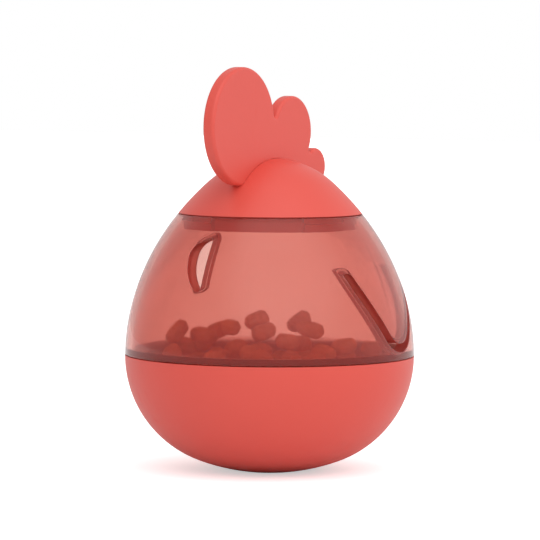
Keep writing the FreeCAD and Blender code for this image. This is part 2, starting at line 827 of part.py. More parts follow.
def draw_bowed(sketch, corners, rises):
    """Closed outline through corners, pairs of sizes; its edges stand out by rises, straight where None."""
    outline = Outline(sketch, Vector(corners[0][0].value, corners[0][1].value))
    for number, rise in enumerate(rises):
        start = corners[number]
        end = corners[(number + 1) % len(corners)]
        if rise is None:
            edge = outline.line(Vector(end[0].value, end[1].value), free=True)
        else:
            edge = outline.bow(start, end, rise)
        outline.start_at(edge, *start)
    outline.close()


def draw_opening(sketch, distance, grow):
    """Half teardrop, straight on the midline, as it lies on a plane at this distance from the axis."""
    spread = distance / size("slot_plane_distance")
    corner = size("opening_corner")
    top = size("opening_top_height")
    bottom = top - size("opening_drop")
    straight = grow * spread
    corners = [
        (straight, top - corner),
        (-corner * spread, top + grow),
        (-(size("opening_brow") + grow / 2) * spread, top - size("opening_brow_drop") + grow),
        (-(size("opening_width") + grow) * spread, top - size("opening_shoulder_drop")),
        (-(corner + grow / 2) * spread * 1.5, bottom + corner / 2 - grow),
        (straight, bottom + corner),
    ]
    rises = [corner * 0.3, None, corner * 0.7, corner * 0.65, corner * 0.45, None]
    draw_bowed(sketch, corners, rises)


def draw_slot(sketch, distance, grow):
    """V with a round bottom and level ends, as it lies on a plane at this distance from the axis."""
    spread = distance / size("slot_plane_distance")
    run = size("slot_top_spread") - size("slot_bend_spread")
    rise = size("slot_top_height") - size("slot_bend_height")
    length = root(run * run + rise * rise)
    top_half = size("slot_top_width") / 2 + grow
    bend_half = size("slot_width") / 2 + grow

    def end_corner(side, outward):
        reach = size("slot_top_spread") + grow * run / rise + length / rise * top_half * outward
        return reach * spread * side, size("slot_top_height") + grow

    def bend_corner(side, outward):
        reach = size("slot_bend_spread") + rise / length * bend_half * outward
        return reach * spread * side, size("slot_bend_height") - run / length * bend_half * outward

    corners = [
        end_corner(-1, 1),
        bend_corner(-1, 1),
        bend_corner(1, 1),
        end_corner(1, 1),
        end_corner(1, -1),
        bend_corner(1, -1),
        bend_corner(-1, -1),
        end_corner(-1, -1),
    ]
    bottom_rise = size("slot_bend_height") - size("slot_bottom_height")
    sag = bend_half * (as_size(1) - run / length)
    round_end = top_half / 4
    rises = [None, bottom_rise + sag, None, round_end, None, sag - bottom_rise, None, round_end]
    draw_bowed(sketch, corners, rises)


def radial_prism(name, draw, azimuth, grow):
    """Solid whose sides run towards the upright axis, between two planes that face away from it."""
    far = widest_radius * 1.1
    near = widest_radius * 0.6
    sections = []
    for place, distance in (("far", far), ("near", near)):
        sketch = radial_sketch(f"{name}_{place}", azimuth, distance)
        draw(sketch, distance, grow)
        sections.append(sketch)
    loft = doc.addObject("Part::Loft", name)
    loft.Sections = sections
    loft.Solid = True
    loft.Ruled = True
    return loft


def make_window_shell():
    """Clear middle of the egg: its wall, the rims round its openings, and the openings themselves."""
    wall = make_window_wall()
    stock = make_rim_stock()
    places = [
        ("opening", draw_opening, as_size(0)),
        ("slot", draw_slot, size("slot_turn")),
    ]
    rim = size("opening_rim_wall")
    outsides = [radial_prism(f"{name}_rim_form", draw, turn, rim) for name, draw, turn in places]
    cuts = [radial_prism(f"{name}_cut", draw, turn, as_size(0)) for name, draw, turn in places]
    rim_forms = doc.addObject("Part::Compound", "rim_forms")
    rim_forms.Links = outsides
    rims = doc.addObject("Part::MultiCommon", "opening_rims")
    rims.Shapes = [stock, rim_forms]
    rimmed = doc.addObject("Part::MultiFuse", "rimmed_wall")
    rimmed.Shapes = [wall, rims]
    cut_forms = doc.addObject("Part::Compound", "cut_forms")
    cut_forms.Links = cuts
    shell = doc.addObject("Part::Cut", "window_shell")
    shell.Label = "window_shell"
    shell.Base = rimmed
    shell.Tool = cut_forms
    return shell


def make_cap_dome():
    """Opaque cap: the egg's point as a shell, with a skirt and tabs below and slots for the comb above."""
    body = new_body("cap_dome")
    wall = size("cap_wall")
    rim_height = neck_height + size("seam_gap")
    step_radius = neck_radius - size("rim_step")
    skirt_inner = skirt_radius - size("skirt_wall")
    sketch = new_sketch(body, "cap_section")
    outline = Outline(sketch, Vector(0, dome_height.value - wall.value))
    axis = outline.line(Egg.apex)
    crown = outline.arc(Egg.crown, Egg.crown_edge)
    flank = outline.arc(Egg.flank, on_arc(Egg.flank, Egg.neck_edge, height=rim_height.value), smooth=True)
    rim = outline.line(Vector(step_radius.value, rim_height.value))
    step = outline.line(Vector(step_radius.value, neck_height.value))
    ledge = outline.line(Vector(skirt_radius.value, neck_height.value))
    outside = outline.line(Vector(skirt_radius.value, skirt_bottom_height.value))
    under = outline.line(Vector(skirt_inner.value, skirt_bottom_height.value))
    outline.line(on_arc(Egg.flank, Egg.neck_edge, radius=skirt_inner.value, inset=wall.value))
    inner_flank = outline.arc(Egg.flank, Egg.crown_edge - Egg.crown_normal * wall.value)
    inner_crown = outline.arc(Egg.crown, Vector(0, dome_height.value - wall.value), smooth=True)
    outline.close()
    outline.start_at(axis, 0)
    outline.end_at(axis, None, dome_height)
    outline.centre_at(crown, 0)
    outline.end_at(crown, crown_edge_radius, crown_edge_height)
    outline.end_at(flank, None, rim_height)
    outline.marker(Egg.neck_edge, flank, neck_radius, neck_height)
    outline.end_at(rim, step_radius)
    outline.end_at(step, None, neck_height)
    outline.end_at(ledge, skirt_radius)
    outline.end_at(outside, None, skirt_bottom_height)
    outline.end_at(under, skirt_inner)
    outline.same_centre(inner_flank, flank)
    outline.same_centre(inner_crown, crown)
    outline.start_at(axis, None, dome_height - wall)
    revolved(body, sketch, "cap_shell")

    sketch = new_sketch(body, "tab_outline", "XY_Plane", lift=skirt_bottom_height, turn=size("tab_turn"))
    draw_tab(sketch, skirt_radius - size("skirt_wall") / 2,
             mouth_radius + size("tab_reach") - size("fit_gap"), size("tab_width") / 2)
    tab = padded(body, sketch, "tab", size("skirt_depth"))
    repeated(body, tab, "tabs", "tab_count")

    ring_inner = size("retainer_radius") - size("retainer_ring_wall") * 2
    ring_outer = size("retainer_radius") - size("retainer_ring_wall")
    sketch = new_sketch(body, "retainer_ring_section")
    inside_radius = crown_arc_radius - wall
    under_crown = (dome_height - crown_arc_radius
                   + root(inside_radius * inside_radius - ring_inner * ring_inner) + wall / 8)
    Outline(sketch, Vector()).rectangle(ring_inner, retainer_top_height, ring_outer, under_crown)
    revolved(body, sketch, "retainer_ring")

    half = size("comb_thickness") / 2 + size("seat_gap") * 2
    for number, side in enumerate((-1, 1), start=1):
        centre = size("tenon_spacing") / 2 * side
        reach = size("tenon_length") / 2 + size("seat_gap") * 2
        sketch = new_sketch(body, f"comb_slot_outline_{number}", "XY_Plane", lift=dome_height)
        Outline(sketch, Vector()).rectangle(-half, centre - reach, half, centre + reach)
        pocketed(body, sketch, f"comb_slot_{number}", size("retainer_drop") - size("fit_gap") * 5)
    return body


def make_comb():
    """Comb: a plate of three round lobes that stands on the dome, with two tenons through it."""
    body = new_body("comb")
    front_radius = size("front_lobe_radius")
    middle_radius = size("middle_lobe_radius")
    rear_radius = size("rear_lobe_radius")
    notch = size("comb_notch_radius")
    front_y = -size("front_lobe_forward")
    front_z = dome_height + size("front_lobe_rise")
    reach = front_radius + middle_radius
    middle_y = front_y + reach * cosine(size("middle_lobe_drop_angle"))
    middle_z = front_z - reach * sine(size("middle_lobe_drop_angle"))
    reach = middle_radius + rear_radius + size("rear_lobe_gap")
    rear_y = middle_y + reach * cosine(size("rear_lobe_drop_angle"))
    rear_z = middle_z - reach * sine(size("rear_lobe_drop_angle"))
    front = Vector(front_y.value, front_z.value)
    middle = Vector(middle_y.value, middle_z.value)
    rear = Vector(rear_y.value, rear_z.value)
    front_notch = notch_centre(front, front_radius.value, middle, middle_radius.value, notch.value)
    rear_notch = notch_centre(middle, middle_radius.value, rear, rear_radius.value, notch.value)

    def meet(lobe, lobe_radius, centre):
        return lobe + (centre - lobe).normalize() * lobe_radius.value

    root_low = dome_height - size("comb_root_depth")
    slope = math.radians(size("rear_root_angle").value)
    leave = rear + Vector(math.cos(slope), -math.sin(slope)) * rear_radius.value
    fall = (leave.y - root_low.value) / math.cos(slope)
    heel = leave + Vector(-math.sin(slope), -math.cos(slope)) * fall
    toe = Vector(front.x, root_low.value)

    sketch = new_sketch(body, "comb_outline", "YZ_Plane")
    outline = Outline(sketch, Vector(front.x, front.y - front_radius.value))
    front_arc = outline.arc(front, meet(front, front_radius, front_notch), turn=-1)
    front_notch_arc = outline.arc(front_notch, meet(middle, middle_radius, front_notch), smooth=True)
    middle_arc = outline.arc(middle, meet(middle, middle_radius, rear_notch), smooth=True, turn=-1)
    rear_notch_arc = outline.arc(rear_notch, meet(rear, rear_radius, rear_notch), smooth=True)
    rear_arc = outline.arc(rear, leave, smooth=True, turn=-1)
    rear_root = outline.line(heel, smooth=True)
    base = outline.line(toe)
    outline.line(Vector(front.x, front.y - front_radius.value))
    outline.close()
    outline.start_at(front_arc, front_y)
    for edge, y, z, radius in ((front_arc, front_y, front_z, front_radius),
                               (middle_arc, middle_y, middle_z, middle_radius),
                               (rear_arc, rear_y, rear_z, rear_radius)):
        outline.centre_at(edge, y, z)
        outline.radius(edge, radius)
    outline.radius(front_notch_arc, notch)
    outline.radius(rear_notch_arc, notch)
    outline.start_at(rear_root, rear_y + rear_radius * cosine(size("rear_root_angle")))
    outline.end_at(base, None, root_low)
    padded(body, sketch, "comb_plate", size("comb_thickness"), both_ways=True)
    doc.recompute()

    plate = body.Tip
    half = size("comb_thickness").value / 2
    rounded = []
    for number, edge in enumerate(plate.Shape.Edges, start=1):
        box = edge.BoundBox
        flat = box.XLength < 1e-6 and abs(abs(box.XMin) - half) < 1e-6
        if flat and not isinstance(edge.Curve, Part.Line):
            rounded.append(f"Edge{number}")
    fillet = body.newObject("PartDesign::Fillet", "comb_edges")
    fillet.Base = (plate, rounded)
    bind(fillet, Radius=size("comb_edge_radius"))

    gap = size("seat_gap")
    sketch = new_sketch(body, "dome_under_comb", "XZ_Plane")
    low = neck_height - size("seam_gap")
    outline = Outline(sketch, Vector(0, low.value))
    axis = outline.line(Egg.apex + Vector(0, gap.value))
    crown = outline.arc(Egg.crown, Egg.crown_edge + Egg.crown_normal * gap.value)
    flank = outline.arc(Egg.flank, on_arc(Egg.flank, Egg.neck_edge, height=low.value, inset=-gap.value),
                        smooth=True)
    outline.line(Vector(0, low.value))
    outline.close()
    outline.start_at(axis, 0, low)
    outline.end_at(axis, None, dome_height + gap)
    outline.centre_at(crown, 0)
    outline.radius(crown, crown_arc_radius + gap)
    outline.end_at(crown, crown_edge_radius * (crown_arc_radius + gap) / crown_arc_radius)
    outline.radius(flank, flank_arc_radius + gap)
    revolved(body, sketch, "dome_groove", kind="PartDesign::Groove")

    for number, side in enumerate((-1, 1), start=1):
        centre = size("tenon_spacing") / 2 * side
        sketch = new_sketch(body, f"tenon_outline_{number}", "XY_Plane", lift=tenon_bottom_height)
        reach = size("tenon_length") / 2
        half_thick = size("comb_thickness") / 2
        Outline(sketch, Vector()).rectangle(-half_thick, centre - reach, half_thick, centre + reach)
        padded(body, sketch, f"tenon_{number}", dome_height - tenon_bottom_height + size("cap_wall"))
    for number, side in enumerate((-1, 1), start=1):
        centre = size("tenon_spacing") / 2 * side
        sketch = new_sketch(body, f"tenon_hole_circle_{number}", "XY_Plane", lift=tenon_bottom_height)
        circle_in(sketch, as_size(0), centre, size("comb_screw_radius") + size("screw_gap"))
        hole = pocketed(body, sketch, f"tenon_hole_{number}", size("comb_screw_length"))
        hole.Reversed = True
    return body


def notch_centre(first, first_radius, second, second_radius, notch_radius):
    """Centre of the small circle that rests in the notch on top of two lobes."""
    to_first = first_radius + notch_radius
    to_second = second_radius + notch_radius
    across = second - first
    gap = across.Length
    along = (to_first ** 2 - to_second ** 2 + gap ** 2) / (2 * gap)
    rise = math.sqrt(to_first ** 2 - along ** 2)
    across.normalize()
    return first + across * along + Vector(-across.y, across.x) * rise


def make_comb_retainer():
    """Disc inside the dome that the comb's tenons are screwed to."""
    body = new_body("comb_retainer")
    low = retainer_top_height - size("retainer_thickness")
    sketch = new_sketch(body, "retainer_section")
    Outline(sketch, Vector()).rectangle(as_size(0), low, size("retainer_radius"), retainer_top_height)
    revolved(body, sketch, "retainer_disc")
    for number, side in enumerate((-1, 1), start=1):
        sketch = new_sketch(body, f"retainer_hole_circle_{number}", "XY_Plane", lift=retainer_top_height)
        circle_in(sketch, as_size(0), size("tenon_spacing") / 2 * side,
                  size("comb_screw_radius") + size("fit_gap"))
        pocketed(body, sketch, f"retainer_hole_{number}", size("retainer_thickness"))
    return body


class Nugget:
    """Baked lump with flat faces, held by its corners: three rings of six, the widest in the middle."""

    def __init__(self, draw, length, width, height):
        swells = [draw.uniform(0.84, 1) for _ in range(6)]
        self.corners = []
        for share, rise in ((TREAT_END, -0.5), (1, draw.uniform(-0.1, 0.1)), (TREAT_END, 0.5)):
            for number, swell in enumerate(swells):
                angle = math.radians(60 * number)
                flat = Vector(math.cos(angle) * length, math.sin(angle) * width) * (swell * share / 2)
                self.corners.append(flat + Vector(0, 0, height * rise))
        self.middle = Vector()

    def move(self, turn, place):
        """Turn the lump round its middle, then move it."""
        placement = FreeCAD.Placement(place, turn, self.middle)
        self.corners = [placement.multVec(corner) for corner in self.corners]
        self.middle = self.middle + place

    def reach(self):
        """Largest distance of a corner from the upright axis."""
        return max(math.hypot(corner.x, corner.y) for corner in self.corners)

    def top(self):
        """Height of the highest corner."""
        return max(corner.z for corner in self.corners)

    def solid(self):
        """The lump as a solid with flat faces."""
        rings = [self.corners[first:first + 6] for first in (0, 6, 12)]
        faces = [flat_face(rings[0]), flat_face(rings[-1])]
        for low, high in zip(rings, rings[1:]):
            for corner, point in enumerate(low):
                faces.append(flat_face([point, low[corner - 1], high[corner - 1], high[corner]]))
        return Part.Solid(Part.Shell(faces))


def flat_face(points):
    """Flat face with these corners."""
    return Part.Face(Part.makePolygon(points + points[:1]))


def room_over_plane(upper, lower, slope_x, slope_y):
    """Height between two lumps, measured between the two planes with these slopes that touch them."""
    lowest = min(slope_x * corner.x + slope_y * corner.y + corner.z for corner in upper.corners)
    highest = max(slope_x * corner.x + slope_y * corner.y + corner.z for corner in lower.corners)
    return lowest - highest


def sinking_room(upper, lower, size_of_pair):
    """Height that upper can sink by before it meets lower, found by trying planes between the two.

    No plane gives more than the true height, so the best of them never lets the lumps meet.
    """
    away = upper.middle - lower.middle
    level_part = min(math.hypot(away.x, away.y) / size_of_pair, 0.99)
    steepness = 1 / (size_of_pair * math.sqrt(1 - level_part ** 2))
    slope = (away.x * steepness, away.y * steepness)
    best = room_over_plane(upper, lower, *slope)
    stride = 1.5
    for step in range(PLANE_TRIALS):
        angle = math.tau * GOLDEN * step
        trial = (slope[0] + stride * math.cos(angle), slope[1] + stride * math.sin(angle))
        room = room_over_plane(upper, lower, *trial)
        if room > best:
            best = room
            slope = trial
        else:
            stride *= 0.93
    return best


def settle(lump, others, gap, length):
    """Let a lump sink from far above until it lies on the tray or on other lumps."""
    floor_edge = (tray_floor_radius - size("tray_wall") / 2).value - gap
    steepness = size("tray_drop").value / size("tray_slope_run").value
    room = min(corner.z - max(math.hypot(corner.x, corner.y) - floor_edge, 0) * steepness
               for corner in lump.corners) - tray_floor_height.value
    for other in others:
        away = lump.middle - other.middle
        if math.hypot(away.x, away.y) < length:
            room = min(room, sinking_room(lump, other, length))
    lump.move(FreeCAD.Rotation(), Vector(0, 0, gap - room))


def make_treats():
    """Loose pile of nuggets on the tray, level but for a few that lie on top of it."""
    length = size("treat_length").value
    shape = (length, size("treat_width").value, size("treat_height").value)
    gap = size("treat_gap").value
    level = size("treat_level").value
    slope_edge = tray_floor_radius - size("tray_wall") / 2 + size("tray_slope_run")
    brim = min(slope_edge.value, (spigot_radius - size("spigot_wall")).value) - gap
    sky = Vector(0, 0, dome_height.value)
    draw = random.Random(TREAT_SEED)
    lumps = []
    while True:
        trials = []
        while len(trials) < TREAT_TRIALS:
            lump = Nugget(draw, *shape)
            reach = brim * math.sqrt(draw.random())
            angle = draw.uniform(0, math.tau)
            tilts = (draw.gauss(0, TREAT_TILT), draw.gauss(0, TREAT_TILT))
            turn = FreeCAD.Rotation(draw.uniform(0, 360), *tilts)
            lump.move(turn, sky + Vector(reach * math.cos(angle), reach * math.sin(angle)))
            if lump.reach() < brim:
                settle(lump, lumps, gap, length)
                trials.append(lump)
        lowest = min(trials, key=Nugget.top)
        if lowest.top() > level:
            break
        lumps.append(lowest)
    for share_x, share_y, turn, tilt in TOP_TREATS:
        lump = Nugget(draw, *shape)
        place = Vector(share_x, share_y) * tray_floor_radius.value
        lump.move(FreeCAD.Rotation(turn, tilt, 0), sky + place)
        settle(lump, lumps, gap, length)
        lumps.append(lump)
    treats = doc.addObject("Part::Feature", "treats")
    treats.Label = "treats"
    treats.Shape = Part.makeCompound([lump.solid() for lump in lumps])
    return treats


pieces = [
    make_lower_bowl(),
    make_counterweight(),
    make_treat_tray(),
    make_screws("tray_screws", "XZ_Plane", tray_floor_height - size("tray_screw_recess"), 1,
                size("boss_circle_radius"), "tray_screw", "boss_count"),
    make_treats(),
    make_window_shell(),
    make_cap_dome(),
    make_comb(),
    make_comb_retainer(),
    make_screws("comb_screws", "YZ_Plane", retainer_top_height - size("retainer_thickness"), -1,
                size("tenon_spacing") / 2, "comb_screw", "tenon_count"),
]
doc.recompute()


def is_well(thing):
    """True for an object that recomputed without a fault."""
    return not {"Invalid", "Error"} & set(thing.State)


faulty = [thing.Name for thing in doc.Objects if not is_well(thing)]
if faulty:
    raise RuntimeError(f"not recomputed: {faulty}")
os.makedirs("parts", exist_ok=True)
for piece in pieces:
    shape = piece.Shape
    if shape.isNull() or not shape.isValid() or not shape.Solids:
        raise RuntimeError(f"{piece.Label} has no valid solid")
    print(piece.Label, len(shape.Solids), round(shape.Volume, 1), shape.BoundBox)
    shape.exportStep(f"parts/{piece.Label}.step")
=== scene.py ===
"""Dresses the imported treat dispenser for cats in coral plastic, clear tinted plastic and baked crumb."""
import logging
import math
from dataclasses import dataclass
from enum import Enum
from typing import Iterable, Sequence

import bmesh
import bpy
from mathutils import Matrix, Vector, noise


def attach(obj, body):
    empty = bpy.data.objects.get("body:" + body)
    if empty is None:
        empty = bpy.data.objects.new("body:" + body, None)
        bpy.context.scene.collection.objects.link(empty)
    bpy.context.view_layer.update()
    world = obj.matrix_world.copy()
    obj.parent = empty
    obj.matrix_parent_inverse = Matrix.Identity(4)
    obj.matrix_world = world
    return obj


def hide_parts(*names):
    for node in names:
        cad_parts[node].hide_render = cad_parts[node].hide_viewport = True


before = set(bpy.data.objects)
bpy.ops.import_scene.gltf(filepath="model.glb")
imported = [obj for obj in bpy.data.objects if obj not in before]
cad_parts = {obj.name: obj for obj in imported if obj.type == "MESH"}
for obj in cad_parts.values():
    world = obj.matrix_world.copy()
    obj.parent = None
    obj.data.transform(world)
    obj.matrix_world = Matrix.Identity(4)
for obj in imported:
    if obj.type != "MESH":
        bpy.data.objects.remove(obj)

LOG = logging.getLogger("treat_dispenser")
RGB = tuple[float, float, float]
Ends = tuple[float, float]
Planes = list[tuple[Vector, Vector]]
MM = 0.001
PLASTIC_IOR = 1.49
RELIEF_DEPTH = 0.1 * MM
TONE_ENDS: Ends = (0.3, 0.7)


class MouldFace(Enum):
    """How the steel of a mould was finished: depth of its pits, its waviness, and the plastic's roughness."""

    SPARKED = (1.0, 0.4, 0.42)
    SCRAPED = (1.5, 0.6, 0.52)
    POLISHED = (0.0, 0.5, 0.06)
    ERODED = (0.8, 0.5, 0.38)

    @property
    def pitting(self) -> float:
        """Depth of the pits."""
        return self.value[0]

    @property
    def waviness(self) -> float:
        """Depth of the slow waves."""
        return self.value[1]

    @property
    def roughness(self) -> float:
        """Roughness that the plastic takes from it."""
        return self.value[2]


class NodeDesk:
    """Adds and links the nodes of one node tree."""

    def __init__(self, tree: bpy.types.NodeTree) -> None:
        """Start with an empty tree.

        Args:
            tree: The node tree of a material, a world or a group.
        """
        self.tree = tree
        self.column = 0
        tree.nodes.clear()

    def add(self, kind: str, **settings: object) -> bpy.types.Node:
        """Add one node.

        Args:
            kind: The node's Blender type name without its "ShaderNode" start, or a full type name.
            settings: Attributes to set on the node.

        Returns:
            The new node.
        """
        full_name = kind if kind.startswith("Node") else f"ShaderNode{kind}"
        node = self.tree.nodes.new(full_name)
        for name, value in settings.items():
            setattr(node, name, value)
        self.column += 1
        node.location = (self.column * 180, 0)
        return node

    def feed(self, node: bpy.types.Node, **inputs: object) -> bpy.types.Node:
        """Set or link a node's inputs.

        Args:
            node: The node.
            inputs: Values or output sockets by input name, with _ for a space, or a number after "n".

        Returns:
            The same node.
        """
        for name, value in inputs.items():
            numbered = name[0] == "n" and name[1:].isdigit()
            key: int | str = int(name[1:]) if numbered else name.replace("_", " ")
            socket = node.inputs[key]
            if isinstance(value, bpy.types.NodeSocket):
                self.tree.links.new(value, socket)
            else:
                socket.default_value = value
        return node

    def maths(self, operation: str, first: object, second: object = 0.0) -> bpy.types.NodeSocket:
        """Add a Math node.

        Args:
            operation: Its operation, such as MULTIPLY.
            first: First value or socket.
            second: Second value or socket.

        Returns:
            Its output.
        """
        node = self.add("Math", operation=operation)
        self.feed(node, n0=first, n1=second)
        return node.outputs[0]

    def span(self, value: object, low: float, high: float,
             to_low: float = 0.0, to_high: float = 1.0) -> bpy.types.NodeSocket:
        """Add a Map Range node that holds its ends.

        Args:
            value: Value or socket to map.
            low: Value that maps to to_low.
            high: Value that maps to to_high.
            to_low: Result at low.
            to_high: Result at high.

        Returns:
            Its output.
        """
        node = self.add("MapRange")
        self.feed(node, Value=value, From_Min=low, From_Max=high, To_Min=to_low, To_Max=to_high)
        return node.outputs[0]

    def blend(self, share: object, first: object, second: object) -> bpy.types.NodeSocket:
        """Add a colour Mix node.

        Args:
            share: Share of the second colour.
            first: First colour or socket.
            second: Second colour or socket.

        Returns:
            Its colour output.
        """
        node = self.add("Mix", data_type="RGBA")
        self.feed(node, n0=share, n6=first, n7=second)
        return node.outputs[2]

    def noise(self, place: object, scale: object, detail: float = 2.0) -> bpy.types.NodeSocket:
        """Add a Noise Texture.

        Args:
            place: Socket of the place to read it at.
            scale: Features per metre.
            detail: Octaves.

        Returns:
            Its value output.
        """
        node = self.add("TexNoise")
        self.feed(node, Vector=place, Scale=scale, Detail=detail)
        return node.outputs[0]


def new_group(name: str, inputs: dict[str, float],
              outputs: dict[str, str]) -> tuple[bpy.types.NodeTree, NodeDesk]:
    """Start a shader node group with named number inputs.

    Args:
        name: The group's name.
        inputs: Default value by input name.
        outputs: Socket type by output name.

    Returns:
        The group and the desk that fills it.
    """
    tree = bpy.data.node_groups.new(name, "ShaderNodeTree")
    desk = NodeDesk(tree)
    for title, value in inputs.items():
        socket = tree.interface.new_socket(title, in_out="INPUT", socket_type="NodeSocketFloat")
        socket.default_value = value
    for title, kind in outputs.items():
        tree.interface.new_socket(title, in_out="OUTPUT", socket_type=kind)
    return tree, desk


@dataclass(frozen=True)
class GrainPattern:
    """Pits and slow waves of a mould's surface: features per metre, and the share of each in the relief."""

    pits: float = 4200.0
    waves: float = 55.0
    clouds: float = 34.0
    pit_share: float = 0.02
    wave_share: float = 0.5

    def group(self) -> bpy.types.NodeTree:
        """Build the group.

        Returns:
            Group with Pitting and Waviness inputs, and Height and Tone outputs.
        """
        tree, desk = new_group("moulded_grain", {"Pitting": 1.0, "Waviness": 1.0},
                               {"Height": "NodeSocketFloat", "Tone": "NodeSocketFloat"})
        entry = desk.add("NodeGroupInput")
        place = desk.add("TexCoord").outputs["Object"]
        pits = desk.noise(place, self.pits, detail=1.5)
        waves = desk.noise(place, self.waves, detail=2.0)
        clouds = desk.noise(place, self.clouds, detail=3.0)
        pitted = desk.maths("MULTIPLY", pits, entry.outputs["Pitting"])
        wavy = desk.maths("MULTIPLY", waves, entry.outputs["Waviness"])
        height = desk.maths("ADD", desk.maths("MULTIPLY", pitted, self.pit_share),
                            desk.maths("MULTIPLY", wavy, self.wave_share))
        tone = desk.maths("MULTIPLY", desk.maths("ADD", clouds, pits), 0.5)
        desk.feed(desk.add("NodeGroupOutput"), Height=height, Tone=tone)
        return tree


@dataclass(frozen=True)
class HandlingPattern:
    """Streaks in patches, where hands, paws and the floor have scuffed a surface a little."""

    patches: float = 48.0
    patch_ends: Ends = (0.45, 0.7)
    streaks: float = 160.0
    streak_ends: Ends = (0.58, 0.72)
    turn: tuple[float, float, float] = (0.5, 0.9, 0.3)
    stretch: tuple[float, float, float] = (1.0, 9.0, 1.0)

    def group(self) -> bpy.types.NodeTree:
        """Build the group.

        Returns:
            Group with a Reach input and a Mask output, 0 where untouched.
        """
        tree, desk = new_group("handling", {"Reach": 1.0}, {"Mask": "NodeSocketFloat"})
        entry = desk.add("NodeGroupInput")
        place = desk.add("TexCoord").outputs["Object"]
        patches = desk.span(desk.noise(place, self.patches, detail=4.0), *self.patch_ends)
        stretched = desk.feed(desk.add("Mapping"), Vector=place, Rotation=self.turn, Scale=self.stretch)
        streaks = desk.span(desk.noise(stretched.outputs[0], self.streaks, detail=3.0), *self.streak_ends)
        mask = desk.maths("MULTIPLY", desk.maths("MULTIPLY", patches, streaks), entry.outputs["Reach"])
        desk.feed(desk.add("NodeGroupOutput"), Mask=mask)
        return tree


@dataclass(frozen=True)
class SoftEdge:
    """Small radius on every sharp edge, as a mould leaves it."""

    radius: float = 0.3 * MM
    samples: int = 6

    def group(self) -> bpy.types.NodeTree:
        """Build the group.

        Returns:
            Group with a Radius input and a Normal output.
        """
        tree, desk = new_group("soft_edge", {"Radius": self.radius}, {"Normal": "NodeSocketVector"})
        entry = desk.add("NodeGroupInput")
        rounded = desk.feed(desk.add("Bevel", samples=self.samples), Radius=entry.outputs["Radius"])
        desk.feed(desk.add("NodeGroupOutput"), Normal=rounded.outputs[0])
        return tree


class Effects:
    """Node groups that more than one material uses, each built once."""

    def __init__(self) -> None:
        """Build the groups."""
        self.grain = GrainPattern().group()
        self.handling = HandlingPattern().group()
        self.soft_edge = SoftEdge().group()


def place_group(desk: NodeDesk, tree: bpy.types.NodeTree, **inputs: float) -> bpy.types.Node:
    """Place a node group in a material.

    Args:
        desk: The material's desk.
        tree: The group.
        inputs: Input values by name, with _ for a space.

    Returns:
        The group's node.
    """
    node = desk.add("Group")
    node.node_tree = tree
    return desk.feed(node, **inputs)


def new_material(name: str) -> tuple[bpy.types.Material, NodeDesk, bpy.types.Node]:
    """Start a material with a Principled shader.

    Args:
        name: The material's name.

    Returns:
        The material, its desk and its shader.
    """
    material = bpy.data.materials.new(name)
    material.use_nodes = True
    desk = NodeDesk(material.node_tree)
    shader = desk.add("BsdfPrincipled")
    desk.feed(desk.add("OutputMaterial"), Surface=shader.outputs[0])
    return material, desk, shader


def relief(desk: NodeDesk, grain: bpy.types.Node, edge: bpy.types.Node,
           strength: float) -> bpy.types.NodeSocket:
    """Raise the grain on top of the soft edges.

    Args:
        desk: The material's desk.
        grain: The grain group's node.
        edge: The soft edge group's node.
        strength: How strong the relief is.

    Returns:
        The normal.
    """
    bump = desk.add("Bump")
    desk.feed(bump, Strength=strength, Distance=RELIEF_DEPTH, Height=grain.outputs["Height"],
              Normal=edge.outputs["Normal"])
    return bump.outputs[0]


def mottle(desk: NodeDesk, grain: bpy.types.Node, first: RGB, second: RGB) -> bpy.types.NodeSocket:
    """Let two close colours run into each other with the grain's tone.

    Args:
        desk: The material's desk.
        grain: The grain group's node.
        first: Colour where the tone is low.
        second: Colour where the tone is high.

    Returns:
        The colour.
    """
    tone = desk.span(grain.outputs["Tone"], *TONE_ENDS)
    return desk.blend(tone, (*first, 1.0), (*second, 1.0))


def paler(colour: RGB, share: float) -> RGB:
    """Scale a colour's three channels by one share."""
    red, green, blue = colour
    return red * share, green * share, blue * share


@dataclass(frozen=True)
class MouldedPlastic:
    """Opaque coloured plastic."""

    name: str
    colour: RGB
    deep: RGB
    face: MouldFace = MouldFace.SPARKED
    edge_radius: float = 0.3 * MM
    bump: float = 0.25
    scuff: float = 0.12
    uneven_ends: Ends = (0.2, 0.8)
    unevenness: float = 0.03
    shine: float = 0.45

    def material(self, effects: Effects) -> bpy.types.Material:
        """Build the material.

        Args:
            effects: The shared node groups.

        Returns:
            The material.
        """
        material, desk, shader = new_material(self.name)
        grain = place_group(desk, effects.grain, Pitting=self.face.pitting, Waviness=self.face.waviness)
        handling = place_group(desk, effects.handling, Reach=1.0)
        edge = place_group(desk, effects.soft_edge, Radius=self.edge_radius)
        roughness = self.face.roughness
        dulled = desk.span(handling.outputs["Mask"], 0.0, 1.0, roughness, roughness + self.scuff)
        uneven = desk.span(grain.outputs["Tone"], *self.uneven_ends, -self.unevenness, self.unevenness)
        desk.feed(shader, Base_Color=mottle(desk, grain, self.deep, self.colour),
                  Roughness=desk.maths("ADD", dulled, uneven), Normal=relief(desk, grain, edge, self.bump),
                  IOR=PLASTIC_IOR, Specular_IOR_Level=self.shine)
        return material


